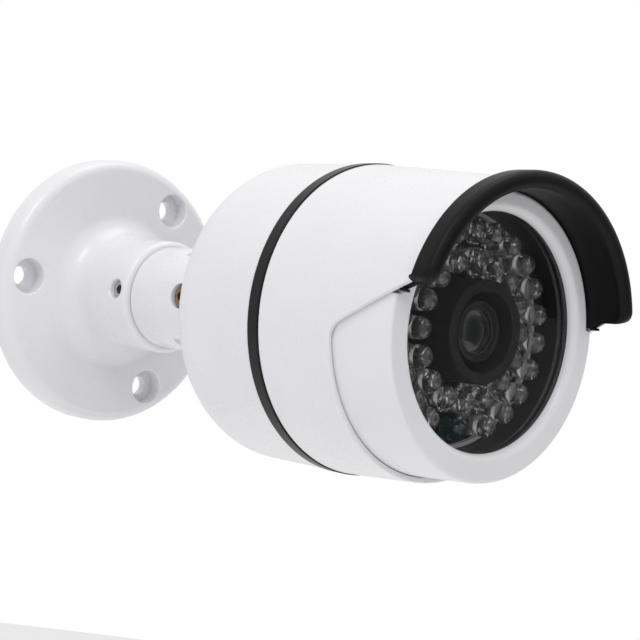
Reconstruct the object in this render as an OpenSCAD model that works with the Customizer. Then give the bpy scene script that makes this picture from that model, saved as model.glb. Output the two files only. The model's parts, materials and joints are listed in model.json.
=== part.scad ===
// Bullet security camera on a round wall bracket.
// Frame: the wall is the plane y = 0, the lens looks along -Y, +Z is up.
// The origin is the centre of the bracket's back face.
// Inside along(), z is the distance from the wall and y is up.

/* [Wall base] */
// Radius of the round wall flange
base_r = 36.5; // [33:0.5:42]
// Thickness of the flange
base_t = 7; // [6:0.5:9]
// Radius of the rounded flange rim
rim_round = 3; // [1:0.5:4]
// Diameter of the circle that the wall screws lie on
bolt_pcd = 58.5; // [54:0.5:60]
// Number of wall screw holes
bolt_count = 3; // [3:1:4]
// Radius of a wall screw hole
bolt_hole_r = 2.6; // [2:0.1:3]
// Radius of the counterbore for a wall screw head
bolt_head_r = 4.65; // [4:0.05:5]
// Thickness left under a wall screw head
bolt_floor = 2.6; // [2:0.1:3.5]
// Distance from the wall to the end of the hub
hub_len = 31; // [28:0.5:38]
// Radius of the hub
hub_r = 15; // [14.5:0.25:17]
// Radius of the fillet between flange and hub
hub_fillet = 6.5; // [3:0.5:7]

/* [Swivel joint] */
// Radius of the spigot that turns in the hub
spigot_r = 8; // [7:0.25:8.5]
// Radius of the cable way through the spigot
cable_way_r = 5.5; // [4:0.25:6]
// Thickness of the swivel nut
pan_nut_t = 4; // [3:0.5:5]
// Thickness of the swivel washer
pan_washer_t = 1; // [0.8:0.1:1.5]
// Radius of the grub screw that locks the swivel
grub_r = 2.4; // [1.5:0.1:2.5]
// Distance from the wall to the grub screw
grub_d = 26.2; // [22:0.2:27]

/* [Tilt joint] */
// Radius of the swivel arm
arm_r = 13.5; // [13:0.25:14.5]
// Distance from the wall to the tilt axis
pivot_d = 52; // [50:0.5:58]
// Width of the fork's slot
slot_w = 16; // [14:0.5:17]
// Radius of the tongue's round end
tongue_r = 6.4; // [5.5:0.1:6.6]
// Radius of a tilt screw's thread
tilt_screw_r = 2; // [1.5:0.1:2.5]
// Radius of a tilt screw's head
tilt_head_r = 2.6; // [2.4:0.1:3.2]
// Height of a tilt screw's head
tilt_head_t = 2.6; // [2:0.1:3]

/* [Tail] */
// Distance from the tilt axis to the collar behind the camera
collar_gap = 14.2; // [14:0.1:15.5]
// Radius of the tail stud through the rear shell
stud_r = 7; // [6.5:0.25:8]
// Thickness of the roll nut
roll_nut_t = 3.5; // [3:0.5:5]
// Radius of the cable way through the tongue and the stud
tail_way_r = 3.2; // [2.5:0.1:3.6]

/* [Camera shells] */
// Outer radius of the camera body
body_r = 36; // [35:0.5:40]
// Distance from the tilt axis to the rear face of the camera
rear_gap = 23.6; // [23:0.2:30]
// Length of the rear shell, from its rear face to the seam ring
rear_len = 30.7; // [28:0.5:36]
// Width of the black seam ring
seam_w = 3.6; // [2:0.2:5]
// How far the seam ring stands proud of the shells
seam_proud = 0.25; // [0:0.05:0.6]
// Radius of the rounded rear edge
rear_round = 9.4; // [8:0.5:13]
// Wall thickness of the shells
shell_wall = 2.2; // [2:0.1:2.6]
// Thickness of the rear wall
rear_wall = 3; // [2.5:0.25:4]
// Length of the front shell's full tube, from the seam ring to its lower edge
front_len = 21.1; // [20:0.5:26]
// Radius that the front shell loses for each millimetre ahead of the seam
shell_taper = 0.055; // [0:0.005:0.06]
// Distance from the front shell's lower edge to the front of the bezel
nose_len = 15.9; // [13:0.5:17]

/* [Hood and visor] */
// Length of the slanted edge's low corner below the axis
ear_drop = 4.1; // [2:0.5:8]
// Slope angle of the hood's side edge
ear_slope = 29.5; // [22:0.2:32]
// Rounding of the low corner of the hood's side edge
ear_round = 5; // [2:0.5:6]
// Reach of the hood past the bezel, on the axis
hood_reach = 4.9; // [3:0.5:8]
// Forward lean of the hood's front edge
hood_lean = 1.2; // [0:0.2:8]
// Wall thickness of the hood
hood_wall = 1.3; // [1.1:0.1:1.6]
// Thickness of the visor's skirt
visor_t = 1.4; // [1.1:0.1:1.6]
// How far the visor's lip stands out in front of the hood
lip_len = 5.2; // [2:0.1:6]
// Thickness of the visor's lip
lip_t = 4; // [2.2:0.1:4.4]

/* [Window and LEDs] */
// Radius of the visible window
window_r = 26.3; // [26:0.1:27]
// Rounding of the bezel's edge round the window
window_round = 2; // [0.5:0.1:2.2]
// Radius of the window glass
glass_r = 28.2; // [27.8:0.1:28.6]
// Thickness of the window glass
glass_t = 1.8; // [1.5:0.1:2.2]
// Radius of the LED board
board_r = 26.5; // [26:0.1:27]
// Radius of the hole in the LED board
board_hole_r = 11.6; // [11.5:0.1:12]
// Thickness of the printed circuit boards
board_t = 1.6; // [1.2:0.1:2]
// Radius of an LED's body
led_r = 2.5; // [2:0.1:2.6]
// Height of an LED above its board
led_h = 8.6; // [7:0.1:8.8]
// Number of LEDs in the inner ring
inner_count = 16; // [8:1:16]
// Diameter of the inner ring of LEDs
inner_pcd = 31.6; // [30.8:0.1:32]
// Number of places in the outer ring
outer_count = 22; // [12:1:22]
// Diameter of the outer ring of LEDs
outer_pcd = 44.4; // [43.8:0.1:45]

/* [Lens] */
// Radius of the lens's thread
lens_r = 6; // [5:0.25:6]
// Radius of the lens's front ring
lens_head_r = 6.8; // [6.6:0.1:7.4]
// Outer radius of the light baffle round the lens
baffle_r = 11.5; // [11:0.1:11.5]
// Wall thickness of the light baffle
baffle_wall = 2.6; // [1.5:0.1:3]
// Travel of the infrared filter
filter_travel = 7.5; // [6:0.5:8]

/* [Hidden] */
$fn = 96;
eps = 0.01;
run_fit = 0.08;                                  // radial clearance of a turning fit
gap = 0.2;                                       // free gap between pieces that move apart
seat = 0.05;                                     // clearance of pieces fixed to each other

pivot_slot_root = pivot_d - tongue_r - 0.35;
slot_h = slot_w / 2;
tongue_h = slot_h - gap;                         // half the width of the tongue
recess_x = arm_r - 3.7;                          // where the tilt screw's head seats
washer_t = 0.45;                                 // washer under a tilt screw's head
socket_r = 1.45;                                 // hexagonal socket of a tilt screw
socket_depth = 1.5;
arm_start = hub_len + gap;
pan_seat_d = 9;                                  // seat of the swivel washer in the base
pan_pocket_r = spigot_r + 5;                     // pocket for the swivel washer and nut
collar_d = pivot_d + collar_gap;
rear_d = pivot_d + rear_gap;
ring_d = rear_d + rear_len;
front_d = ring_d + seam_w;
edge_d = front_d + front_len;
nose_d = edge_d + nose_len;
inner_r = body_r - shell_wall;
nest = hood_wall + 0.1;                          // depth of bezel and visor below the hood's surface
bezel_r = shell_at(nose_d) - nest;               // radius of the bezel's front
bezel_round = 0.8;
hood_d = nose_d + hood_reach;                    // hood's front edge on the axis
lean = tan(hood_lean);
glass_d = nose_d - window_round - 0.1 - glass_t;
led_tip_d = glass_d - 2.2;
led_board_d = led_tip_d - led_h - board_t;       // back face of the LED board
shelf_d = led_board_d + board_t + 0.4;           // back of the bezel's ledge over the LED board
boss_ring_r = 26;
chassis_d = rear_d + rear_wall + 8;
chassis_t = 2;
stack = 17;                                      // half the spacing of the stacked boards' posts
main_board_d = chassis_d + chassis_t + 4;
sensor_board_d = main_board_d + board_t + 9;
sensor_face_d = sensor_board_d + board_t;
holder_d = sensor_face_d;
holder_top = holder_d + 8.4;
filter_d = holder_d + 4.2;
filter_t = 1;
filter_r = 3.4;
lens_nose_d = glass_d - 2;
lock_nut_d = holder_top + 9;
board_half = 19;
post_r = 2.2;
pin_r = 0.95;                                    // front pins of the long standoffs
ear_x = 7;                                       // screw ears of the lens holder
ear_z = 10;
lip_r = shell_at(hood_d) + 1.5;
skirt_lift = 1.6;                                // visor's hidden skirt, above the hood's side edge
lip_drop = 0.3;                                  // visor's free part, below the hood's side edge
inner_start = 5;                                 // angle of the inner ring's first LED
outer_start = -90 + 180 / outer_count;           // the two places at the bottom hold no LED

// Turns a piece drawn along z so that z is the distance from the wall.
module along(d = 0) {
    rotate([90, 0, 0]) translate([0, 0, d]) children();
}

// Extrudes a side view, drawn as (distance, height), across the camera.
module side_view(width) {
    rotate([0, -90, 0]) linear_extrude(width, center = true) children();
}

// Points of an arc round (x, y).
function arc(x, y, r, a0, a1, n = 8) =
    [for (i = [0 : n]) [x + r * cos(a0 + (a1 - a0) * i / n), y + r * sin(a0 + (a1 - a0) * i / n)]];

// Outer radius of the tapering front shell at a distance from the wall.
function shell_at(d) = body_r - shell_taper * (d - front_d);

module ring(r_out, r_in, d0, d1) {
    translate([0, 0, d0]) difference() {
        cylinder(r = r_out, h = d1 - d0);
        translate([0, 0, -1]) cylinder(r = r_in, h = d1 - d0 + 2);
    }
}

// A ring that follows the front shell's taper. out and in are its depths below the shell's surface.
module sleeve(out, in, d0, d1) {
    difference() {
        translate([0, 0, d0]) cylinder(r1 = shell_at(d0) - out, r2 = shell_at(d1) - out, h = d1 - d0);
        translate([0, 0, d0 - 1])
            cylinder(r1 = shell_at(d0 - 1) - in, r2 = shell_at(d1 + 1) - in, h = d1 - d0 + 2);
    }
}

module at_angles(count, r, start = 0, skip = []) {
    for (i = [0 : count - 1])
        if (len([for (s = skip) if (s == i) s]) == 0)
            rotate([0, 0, start + i * 360 / count]) translate([r, 0, 0]) children();
}

module at_corners(half) {
    for (sx = [-1, 1], sy = [-1, 1]) translate([sx * half, sy * half, 0]) children();
}

// Cylinder along X at the given distance from the wall, from x0 to x1.
module across(d, x0, x1, r, sides = 96) {
    translate([x0, 0, d]) rotate([0, 90, 0]) cylinder(r = r, h = x1 - x0, $fn = sides);
}

module base_flange() {
    color("white") along() difference() {
        rotate_extrude() polygon(concat(
            [[0, 0], [base_r, 0]],
            arc(base_r - rim_round, base_t - rim_round, rim_round, 0, 90),
            arc(hub_r + hub_fillet, base_t + hub_fillet, hub_fillet, 270, 180),
            arc(hub_r - 1.5, hub_len - 1.5, 1.5, 0, 90, 4),
            [[0, hub_len]]
        ));
        translate([0, 0, -1]) cylinder(r = spigot_r + run_fit, h = hub_len + 2);
        translate([0, 0, -1]) cylinder(r = pan_pocket_r, h = pan_seat_d + 1);
        at_angles(bolt_count, bolt_pcd / 2, 60) {
            translate([0, 0, -1]) cylinder(r = bolt_hole_r, h = base_t + 2);
            translate([0, 0, bolt_floor]) cylinder(r = bolt_head_r, h = base_t);
        }
        across(grub_d, -hub_r - 1, 0, grub_r + run_fit);
    }
}

module pan_lock_screw() {
    color("silver") along() difference() {
        across(grub_d, -hub_r + 1.6, -spigot_r - gap, grub_r);
        across(grub_d, -hub_r + 1, -hub_r + 4.2, grub_r * 0.55, 6);
    }
}

module swivel_arm() {
    color("white") along() difference() {
        union() {
            intersection() {
                rotate_extrude() polygon(concat(
                    [[0, arm_start], [arm_r - 0.8, arm_start]],
                    arc(arm_r - 0.8, arm_start + 0.8, 0.8, 270, 360, 4),
                    [[arm_r, pivot_d + arm_r], [0, pivot_d + arm_r]]
                ));
                union() {
                    translate([-arm_r, -arm_r, arm_start]) cube([2 * arm_r, 2 * arm_r, pivot_d - arm_start]);
                    across(pivot_d, -arm_r, arm_r, arm_r);
                }
            }
            translate([0, 0, 2]) cylinder(r = spigot_r, h = arm_start + 2);
        }
        translate([-slot_h, -arm_r - 1, pivot_slot_root])
            cube([slot_w, 2 * arm_r + 2, pivot_d + arm_r]);
        translate([0, 0, 1]) cylinder(r = cable_way_r, h = pivot_d);
        across(pivot_d, -arm_r - 1, arm_r + 1, tilt_screw_r + run_fit);
        across(pivot_d, -arm_r - 1, -recess_x, tilt_head_r + 0.65);
        across(pivot_d, recess_x, arm_r + 1, tilt_head_r + 0.65);
    }
}

module pan_washer() {
    color("silver") along()
        ring(spigot_r + 4.4, spigot_r + seat, pan_seat_d - 0.1 - pan_washer_t, pan_seat_d - 0.1);
}

module pan_nut() {
    nut_d = pan_seat_d - 0.1 - pan_washer_t - pan_nut_t;
    color("silver") along() difference() {
        translate([0, 0, nut_d]) cylinder(r = spigot_r + 4.6, h = pan_nut_t, $fn = 6);
        translate([0, 0, nut_d - 1]) cylinder(r = spigot_r + seat, h = pan_nut_t + 2);
    }
}

// A cap screw along X, with its head on the side given by side.
module tilt_screw(side) {
    head_x = recess_x + washer_t + 0.1;
    top_x = head_x + tilt_head_t;
    mirror([side < 0 ? 1 : 0, 0, 0]) difference() {
        union() {
            across(pivot_d, head_x, top_x, tilt_head_r);
            across(pivot_d, tail_way_r + 0.9, head_x + eps, tilt_screw_r);
        }
        across(pivot_d, top_x - socket_depth, top_x + 1, socket_r, 6);
    }
}

module tilt_screw_left() {
    color("saddlebrown") along() tilt_screw(-1);
}

module tilt_screw_right() {
    color("saddlebrown") along() tilt_screw(1);
}

module tilt_washers() {
    color("silver") along() for (side = [0, 1]) mirror([side, 0, 0]) difference() {
        across(pivot_d, recess_x + 0.05, recess_x + 0.05 + washer_t, tilt_head_r + 0.35);
        across(pivot_d, recess_x - 1, recess_x + 2, tilt_screw_r + seat);
    }
}

module tail_knuckle() {
    color("white") along() difference() {
        union() {
            across(pivot_d, -tongue_h, tongue_h, tongue_r);
            translate([-tongue_h, -tongue_r, pivot_d]) cube([2 * tongue_h, 2 * tongue_r, collar_gap + 1]);
            rotate_extrude() polygon(concat(
                [[0, collar_d], [arm_r - 1, collar_d]],
                arc(arm_r - 1, collar_d + 1, 1, 270, 360, 4),
                [[arm_r, rear_d - 0.1], [0, rear_d - 0.1]]
            ));
            translate([0, 0, rear_d - 1]) cylinder(r = stud_r, h = rear_wall + 8.5);
        }
        translate([0, 0, pivot_d - tongue_r - 1]) cylinder(r = tail_way_r, h = 50);
        across(pivot_d, -tongue_h - 1, -tail_way_r - 0.5, tilt_screw_r + run_fit);
        across(pivot_d, tail_way_r + 0.5, tongue_h + 1, tilt_screw_r + run_fit);
        ring(stud_r + 4.6, stud_r + 2.4, rear_d - 1.7, rear_d + 0.5);
        translate([0, 0, rear_d + rear_wall + 4]) cylinder(r = tail_way_r + 1.3, h = 6);
    }
}

module tail_seal() {
    color("dimgray") along() ring(stud_r + 4.5, stud_r + 2.5, rear_d - 1.65, rear_d - 0.05);
}

module rear_shell() {
    lip_r0 = inner_r - 1.6;
    color("white") along() difference() {
        union() {
            rotate_extrude() polygon(concat(
                [[0, rear_d]],
                arc(body_r - rear_round, rear_d + rear_round, rear_round, 270, 360, 12),
                [[body_r, ring_d], [inner_r, ring_d]],
                arc(body_r - rear_round, rear_d + rear_round, rear_round - shell_wall, 360, 270, 12),
                [[body_r - rear_round, rear_d + rear_wall], [0, rear_d + rear_wall]]
            ));
            ring(inner_r + 0.1, lip_r0, ring_d - 5, front_d + 5);
            at_angles(3, boss_ring_r, 30)
                translate([0, 0, rear_d + rear_wall - 0.5]) cylinder(r = 3, h = 8.5);
        }
        translate([0, 0, rear_d - 1]) cylinder(r = stud_r + run_fit, h = rear_wall + 2);
        ring(inner_r + 3, inner_r - seat, ring_d, front_d + 6);
        ring(inner_r + 1, inner_r - 0.75, front_d + 1.6, front_d + 3.2);
        at_angles(3, boss_ring_r, 30)
            translate([0, 0, chassis_d - 6]) cylinder(r = 1 + seat, h = 7);
    }
}

module roll_washer() {
    color("silver") along()
        ring(stud_r + 3.6, stud_r + seat, rear_d + rear_wall + 0.1, rear_d + rear_wall + 1.1);
}

module roll_nut() {
    color("silver") along() difference() {
        translate([0, 0, rear_d + rear_wall + 1.15]) cylinder(r = stud_r + 4, h = roll_nut_t, $fn = 6);
        translate([0, 0, rear_d + rear_wall]) cylinder(r = stud_r + seat, h = roll_nut_t + 3);
    }
}

module cable_grommet() {
    color("dimgray") along() {
        ring(tail_way_r + 1.25, tail_way_r - 0.3, rear_d + rear_wall + 4.05, rear_d + rear_wall + 7.5);
        ring(stud_r - 0.2, tail_way_r - 0.3, rear_d + rear_wall + 7.5, rear_d + rear_wall + 8.7);
    }
}

module seam_ring() {
    color("black") along() rotate_extrude() polygon([
        [inner_r + 0.05, ring_d + 0.02],
        [body_r + seam_proud - 0.3, ring_d + 0.02],
        [body_r + seam_proud, ring_d + 0.3],
        [body_r + seam_proud, front_d - 0.3],
        [body_r + seam_proud - 0.3, front_d - 0.02],
        [inner_r + 0.05, front_d - 0.02]
    ]);
}

module shell_o_ring() {
    color("dimgray") along(front_d + 2.4) rotate_extrude()
        translate([inner_r - 0.35, 0]) circle(r = 0.38, $fn = 32);
}

// Side view of what is cut away from the front shell, below and ahead of the hood.
// drop lowers the hood's side edge and reach moves its front edge.
module hood_cut(drop = 0, reach = 0) {
    low = [edge_d, -ear_drop - drop];
    half = (90 + ear_slope) / 2;
    tangent = ear_round / tan(half);
    centre = [low[0] + ear_round, low[1] - tangent];
    run = hood_d + reach - low[0];
    corner_z = (low[1] + run * tan(ear_slope)) / (1 - lean * tan(ear_slope));
    far = 3 * body_r;
    side_view(far) polygon(concat(
        [[low[0], -far]],
        arc(centre[0], centre[1], ear_round, 180, 90 + ear_slope, 6),
        [[hood_d + reach + lean * corner_z, corner_z]],
        [[hood_d + reach + lean * far, far], [hood_d + far, far], [hood_d + far, -far]]
    ));
}

module front_shell() {
    tip_d = hood_d + lean * body_r + 2;
    bore_d = edge_d - 8;                         // where the bore narrows to the hood's
    color("white") along() difference() {
        translate([0, 0, front_d]) cylinder(r1 = body_r, r2 = shell_at(tip_d), h = tip_d - front_d);
        translate([0, 0, front_d - 1]) cylinder(r = inner_r + seat, h = front_len - 6);
        translate([0, 0, bore_d])
            cylinder(r1 = shell_at(bore_d) - hood_wall, r2 = shell_at(tip_d) - hood_wall,
                h = tip_d - bore_d + eps);
        hood_cut();
    }
}

module sunshade() {
    tip_d = hood_d + lean * body_r + lip_len + 3;
    far = 3 * body_r;
    color("black") along() {
        difference() {
            sleeve(nest, nest + visor_t, edge_d + 2.5, tip_d);
            hood_cut(lip_drop, 1);
            intersection() {
                hood_cut(-skirt_lift, 1);
                side_view(far) translate([0, -far]) square([nose_d + 0.6, 2 * far]);
            }
        }
        difference() {
            ring(lip_r, lip_r - lip_t, hood_d - 2, tip_d);
            hood_cut(lip_drop, lip_len);
            side_view(far) polygon([
                [0, -far], [hood_d + 0.1 - lean * far, -far], [hood_d + 0.1 + lean * far, far], [0, far]
            ]);
        }
    }
}

module bezel() {
    back_d = edge_d - 6.8;
    back_r = shell_at(back_d) - nest;
    color("white") along() difference() {
        rotate_extrude() polygon(concat(
            [[back_r - 2.2, back_d], [back_r, back_d]],
            arc(bezel_r - bezel_round, nose_d - bezel_round, bezel_round, 0, 90, 4),
            arc(window_r + window_round, nose_d - window_round, window_round, 90, 180),
            [[window_r, glass_d + glass_t], [glass_r + 0.1, glass_d + glass_t]],
            [[glass_r + 0.1, shelf_d + 1.4], [board_r - 0.7, shelf_d + 1.4]],
            [[board_r - 0.7, shelf_d], [back_r - 2.2, shelf_d]]
        ));
        difference() {
            sleeve(-2, nest + visor_t + 0.1, edge_d + 2, nose_d + 1);
            hood_cut(0.6 - skirt_lift, 40);
        }
    }
}

module window_glass() {
    color("lightcyan", 0.3) along(glass_d) cylinder(r = glass_r, h = glass_t - 0.02);
}

module window_gasket() {
    color("black") along() ring(glass_r - 0.05, window_r + 0.1, shelf_d + 1.45, glass_d - 0.02);
}

module chassis_plate() {
    color("silver") along() difference() {
        translate([0, 0, chassis_d]) cylinder(r = inner_r - 3.4, h = chassis_t);
        translate([0, 0, chassis_d - 1]) cylinder(r = stud_r + 5, h = chassis_t + 2);
        at_angles(3, boss_ring_r, 30) translate([0, 0, chassis_d - 1]) cylinder(r = 1.2, h = chassis_t + 2);
        at_corners(stack) translate([0, 0, chassis_d - 1]) cylinder(r = 1 + seat, h = chassis_t + 2);
    }
}

module chassis_screws() {
    color("silver") along() at_angles(3, boss_ring_r, 30) screw(chassis_d + chassis_t, 6);
}

// A small pan head screw standing along z: the head's seat is at d, the thread goes back by length.
module screw(d, length) {
    difference() {
        union() {
            translate([0, 0, d]) cylinder(r = 1.9, h = 1.3);
            translate([0, 0, d - length]) cylinder(r = 1, h = length + 0.5);
        }
        for (a = [0, 90]) rotate([0, 0, a]) translate([-1.3, -0.22, d + 0.6]) cube([2.6, 0.44, 2]);
    }
}

// A hexagonal spacer from d0 to d1 with a threaded end that reaches back through the board behind it.
module standoff(d0, d1, tail) {
    difference() {
        union() {
            translate([0, 0, d0]) cylinder(r = post_r, h = d1 - d0, $fn = 6);
            translate([0, 0, d0 - tail]) cylinder(r = 1, h = tail + 0.5);
        }
        translate([0, 0, d1 - 4]) cylinder(r = 1 + seat, h = 5);
    }
}

module board_plate(d) {
    difference() {
        translate([-board_half, -board_half, d]) cube([2 * board_half, 2 * board_half, board_t]);
        at_corners(stack) translate([0, 0, d - 1]) cylinder(r = 1.1, h = board_t + 2);
    }
}

module main_board() {
    color("darkgreen") along() board_plate(main_board_d);
}

module processor_chip() {
    color("black") along(main_board_d + board_t) translate([-8, -5, 0.02]) cube([14, 14, 1.4]);
}

module board_connectors() {
    color("ivory") along(main_board_d - 3.6) {
        translate([-12, 9, 0]) cube([12, 6, 3.58]);
        translate([3, -15, 0]) cube([9, 6, 3.58]);
    }
}

module board_capacitors() {
    color("slategray") along(main_board_d + board_t + 0.02)
        for (i = [0 : 2]) translate([12, -8 + 7 * i, 0]) cylinder(r = 2, h = 5);
}

module main_standoffs() {
    color("goldenrod") along() at_corners(stack)
        standoff(chassis_d + chassis_t + 0.02, main_board_d - 0.02, 1.9);
}

module sensor_board() {
    color("darkgreen") along() difference() {
        board_plate(sensor_board_d);
        for (s = [-1, 1])
            translate([s * ear_x, s * ear_z, sensor_board_d - 1]) cylinder(r = 1.1, h = board_t + 2);
    }
}

module sensor_standoffs() {
    color("goldenrod") along() at_corners(stack)
        standoff(main_board_d + board_t + 0.02, sensor_board_d - 0.02, board_t + 1.5);
}

module image_sensor() {
    color("black") along(sensor_face_d + 0.02) translate([-5, -4, 0]) cube([10, 8, 1.3]);
}

module led_standoffs() {
    color("goldenrod") along() at_corners(stack) {
        standoff(sensor_face_d + 0.02, led_board_d - 0.02, board_t + 1.5);
        translate([0, 0, led_board_d - 4.5]) cylinder(r = pin_r, h = board_t + 4.3);
    }
}

module led_board() {
    color([0.08, 0.08, 0.09]) along(led_board_d) difference() {
        cylinder(r = board_r, h = board_t);
        translate([0, 0, -1]) cylinder(r = board_hole_r, h = board_t + 2);
        at_corners(stack) translate([0, 0, -1]) cylinder(r = pin_r + seat, h = board_t + 2);
    }
}

module led() {
    rotate_extrude($fn = 48) polygon(concat(
        [[0, 0.02], [led_r + 0.4, 0.02], [led_r + 0.4, 1], [led_r, 1]],
        arc(0, led_h - led_r, led_r, 0, 90, 6)
    ));
}

module leds_inner() {
    color("gainsboro") along(led_board_d + board_t) at_angles(inner_count, inner_pcd / 2, inner_start) led();
}

module leds_outer() {
    color("gainsboro") along(led_board_d + board_t)
        at_angles(outer_count, outer_pcd / 2, outer_start, [0, outer_count - 1]) led();
}

module light_sensor() {
    color("teal") along(led_board_d + board_t) rotate([0, 0, outer_start])
        translate([outer_pcd / 2, 0, 0]) rotate_extrude($fn = 48)
            polygon(concat([[0, 0.02], [led_r, 0.02]], arc(0, 3.2, led_r, 0, 90, 6)));
}

module led_connector() {
    color("ivory") along(led_board_d - 4) translate([-4, 14, 0]) cube([8, 5, 3.98]);
}

module lens_baffle() {
    color("black") along() {
        ring(baffle_r, baffle_r - baffle_wall, led_board_d - 3, glass_d - 0.1);
        ring(baffle_r + 1.2, baffle_r - baffle_wall, led_board_d - 3, led_board_d - 0.05);
    }
}

module lens_holder() {
    color([0.1, 0.1, 0.1]) along() difference() {
        union() {
            translate([-11, -8, holder_d + 0.02]) cube([22, 16, holder_top - holder_d]);
            translate([0, 0, holder_top - 1]) cylinder(r = lens_r + 1.8, h = 8);
            for (s = [-1, 1]) translate([s * ear_x, s * ear_z, holder_d + 0.02]) cylinder(r = 2.4, h = 3);
        }
        translate([-6, -5, holder_d - 1]) cube([12, 10, 3.2]);
        translate([0, 0, holder_d - 1]) cylinder(r = 4.6, h = 12);
        translate([0, 0, holder_top - 2]) cylinder(r = lens_r + run_fit, h = 12);
        translate([-12, -4.7, filter_d - 0.2]) cube([24, 9.4, filter_t + 0.4]);
        for (s = [-1, 1]) translate([s * ear_x, s * ear_z, holder_d - 1]) cylinder(r = 1 + seat, h = 5);
    }
}

module holder_screws() {
    color("silver") along() for (s = [-1, 1]) translate([s * ear_x, s * ear_z, 0])
        mirror([0, 0, 1]) screw(-sensor_board_d + 0.02, 4);
}

module lens_barrel() {
    color([0.05, 0.05, 0.05]) along() difference() {
        union() {
            translate([0, 0, holder_top - 0.5]) cylinder(r = lens_r, h = lens_nose_d - holder_top);
            rotate_extrude() polygon(concat(
                [[0, lock_nut_d + 3], [lens_head_r, lock_nut_d + 3]],
                arc(lens_head_r - 0.6, lens_nose_d - 0.6, 0.6, 0, 90, 4),
                [[0, lens_nose_d]]
            ));
        }
        translate([0, 0, holder_top - 1]) cylinder(r = 3.6, h = lens_nose_d);
        translate([0, 0, lens_nose_d - 3]) cylinder(r = 4.9, h = 4);
        translate([0, 0, lens_nose_d - 1]) cylinder(r1 = 4.9, r2 = 6, h = 1 + eps);
    }
}

// A thick disc with one domed face, from d0, with its rim height and its dome's rise.
module domed_disc(r, d0, rim, rise) {
    ball = (r * r + rise * rise) / (2 * rise);
    intersection() {
        translate([0, 0, d0]) cylinder(r = r, h = rim + rise);
        translate([0, 0, d0 + rim + rise - ball]) sphere(r = ball, $fn = 128);
    }
}

module lens_front_glass() {
    color("midnightblue") along() domed_disc(4.85, lens_nose_d - 2.95, 1.4, 0.9);
}

module lens_rear_glass() {
    color("lightblue") along() domed_disc(3.5, holder_top + 0.5, 1.2, 0.6);
}

module lens_lock_nut() {
    color([0.1, 0.1, 0.1]) along() difference() {
        translate([0, 0, lock_nut_d]) cylinder(r = lens_r + 2.4, h = 2, $fn = 12);
        translate([0, 0, lock_nut_d - 1]) cylinder(r = lens_r + seat, h = 4);
    }
}

module filter_slider() {
    color("firebrick") along(filter_d) difference() {
        translate([-4.5 - filter_travel, -4.5, 0]) cube([filter_travel + 18.5, 9, filter_t]);
        for (x = [-filter_travel, 0]) translate([x, 0, -1]) cylinder(r = filter_r, h = filter_t + 2);
    }
}

module filter_glasses() {
    color("lightpink", 0.6) along(filter_d + 0.2)
        for (x = [-filter_travel, 0]) translate([x, 0, 0]) cylinder(r = filter_r - seat, h = filter_t - 0.4);
}

module filter_coil() {
    color("orangered") along() {
        difference() {
            translate([11.1, -5.5, holder_d + 0.02]) cube([9, 11, 8]);
            translate([10, -4.8, filter_d - 0.25]) cube([filter_travel + 12, 9.6, filter_t + 0.5]);
        }
    }
}

base_flange();
pan_lock_screw();
swivel_arm();
pan_washer();
pan_nut();
tilt_screw_left();
tilt_screw_right();
tilt_washers();
tail_knuckle();
tail_seal();
rear_shell();
roll_washer();
roll_nut();
cable_grommet();
seam_ring();
shell_o_ring();
front_shell();
sunshade();
bezel();
window_glass();
window_gasket();
chassis_plate();
chassis_screws();
main_board();
processor_chip();
board_connectors();
board_capacitors();
main_standoffs();
sensor_board();
sensor_standoffs();
image_sensor();
led_standoffs();
led_board();
leds_inner();
leds_outer();
light_sensor();
led_connector();
lens_baffle();
lens_holder();
holder_screws();
lens_barrel();
lens_front_glass();
lens_rear_glass();
lens_lock_nut();
filter_slider();
filter_glasses();
filter_coil();
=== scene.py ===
"""Looks of the security camera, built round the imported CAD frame.

Shapes are worked out in millimetres as (radius, distance from the wall) and turned into metres when
a mesh is made. The camera's axis is the frame's Y axis, and the wall is the plane y = 0.
"""

import json
import math

import bmesh
import bpy
from mathutils import Matrix, Vector


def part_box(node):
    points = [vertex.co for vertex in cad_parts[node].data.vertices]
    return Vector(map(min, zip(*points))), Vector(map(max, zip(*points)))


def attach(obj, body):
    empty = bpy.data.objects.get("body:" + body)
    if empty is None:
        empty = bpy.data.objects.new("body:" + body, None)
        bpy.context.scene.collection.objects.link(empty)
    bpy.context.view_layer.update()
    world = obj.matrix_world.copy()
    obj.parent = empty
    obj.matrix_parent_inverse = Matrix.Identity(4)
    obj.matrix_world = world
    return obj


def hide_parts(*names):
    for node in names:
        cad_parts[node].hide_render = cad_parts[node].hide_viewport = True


MM = 0.001
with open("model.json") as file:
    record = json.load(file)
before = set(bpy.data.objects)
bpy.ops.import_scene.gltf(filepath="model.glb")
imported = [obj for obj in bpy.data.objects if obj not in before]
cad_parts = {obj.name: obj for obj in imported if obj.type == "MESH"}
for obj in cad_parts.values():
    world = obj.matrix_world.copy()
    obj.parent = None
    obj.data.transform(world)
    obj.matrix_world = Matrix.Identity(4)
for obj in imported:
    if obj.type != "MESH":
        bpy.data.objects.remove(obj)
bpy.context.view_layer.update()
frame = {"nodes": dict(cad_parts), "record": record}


# ---------------------------------------------------------------- sizes read from the frame


def reach(node):
    """Radius of a CAD node round the axis, and its least and greatest distance from the wall, in mm."""
    low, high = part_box(node)
    return min(high.x, high.z) / MM, -high.y / MM, -low.y / MM


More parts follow.
